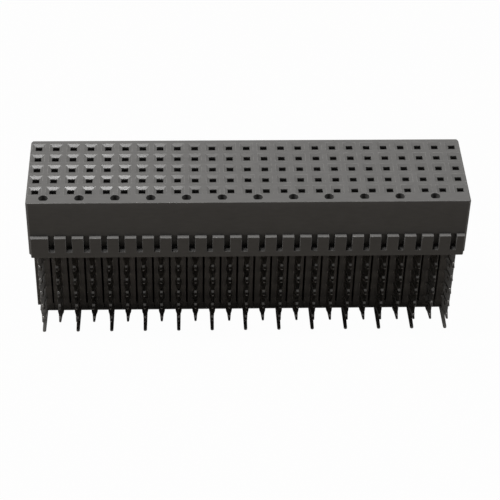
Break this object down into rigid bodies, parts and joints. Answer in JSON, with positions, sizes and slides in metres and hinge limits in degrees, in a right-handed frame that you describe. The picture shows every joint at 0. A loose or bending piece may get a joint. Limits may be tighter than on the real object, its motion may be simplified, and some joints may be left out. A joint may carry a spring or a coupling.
{
  "type": "backplane connector",
  "caption": "Right-angle press-fit female backplane connector: grey housing with a grid of funnelled contact openings, black wafers, press-fit tails and a rear shield.",
  "frame": {"origin": "bottom centre of the bounding box, on the lower face of the shield's plate", "axes": "+X along the columns, +Y away from the board (the press-fit tails point to -Y), +Z towards the mating face"},
  "size_m": [0.0498, 0.012, 0.0203],
  "materials": {
    "housing_plastic": "fine moulded grain, satin",
    "wafer_plastic": "satin black moulding",
    "contact_metal": "dull tin plate over copper alloy",
    "shield_metal": "dull tin plate over copper alloy"
  },
  "bodies": {
    "root": {"housing": "housing_plastic", "wafer_01": "wafer_plastic", "wafer_02": "wafer_plastic", "wafer_03": "wafer_plastic", "wafer_04": "wafer_plastic", "wafer_05": "wafer_plastic", "wafer_06": "wafer_plastic", "wafer_07": "wafer_plastic", "wafer_08": "wafer_plastic", "wafer_09": "wafer_plastic", "wafer_10": "wafer_plastic", "wafer_11": "wafer_plastic", "wafer_12": "wafer_plastic", "wafer_13": "wafer_plastic", "wafer_14": "wafer_plastic", "wafer_15": "wafer_plastic", "wafer_16": "wafer_plastic", "wafer_17": "wafer_plastic", "wafer_18": "wafer_plastic", "wafer_19": "wafer_plastic", "wafer_20": "wafer_plastic", "wafer_21": "wafer_plastic", "wafer_22": "wafer_plastic", "wafer_23": "wafer_plastic", "wafer_24": "wafer_plastic", "wafer_25": "wafer_plastic", "contacts_01": "contact_metal", "contacts_02": "contact_metal", "contacts_03": "contact_metal", "contacts_04": "contact_metal", "contacts_05": "contact_metal", "contacts_06": "contact_metal", "contacts_07": "contact_metal", "contacts_08": "contact_metal", "contacts_09": "contact_metal", "contacts_10": "contact_metal", "contacts_11": "contact_metal", "contacts_12": "contact_metal", "contacts_13": "contact_metal", "contacts_14": "contact_metal", "contacts_15": "contact_metal", "contacts_16": "contact_metal", "contacts_17": "contact_metal", "contacts_18": "contact_metal", "contacts_19": "contact_metal", "contacts_20": "contact_metal", "contacts_21": "contact_metal", "contacts_22": "contact_metal", "contacts_23": "contact_metal", "contacts_24": "contact_metal", "contacts_25": "contact_metal", "rear_shield": "shield_metal"}
  },
  "joints": []
}
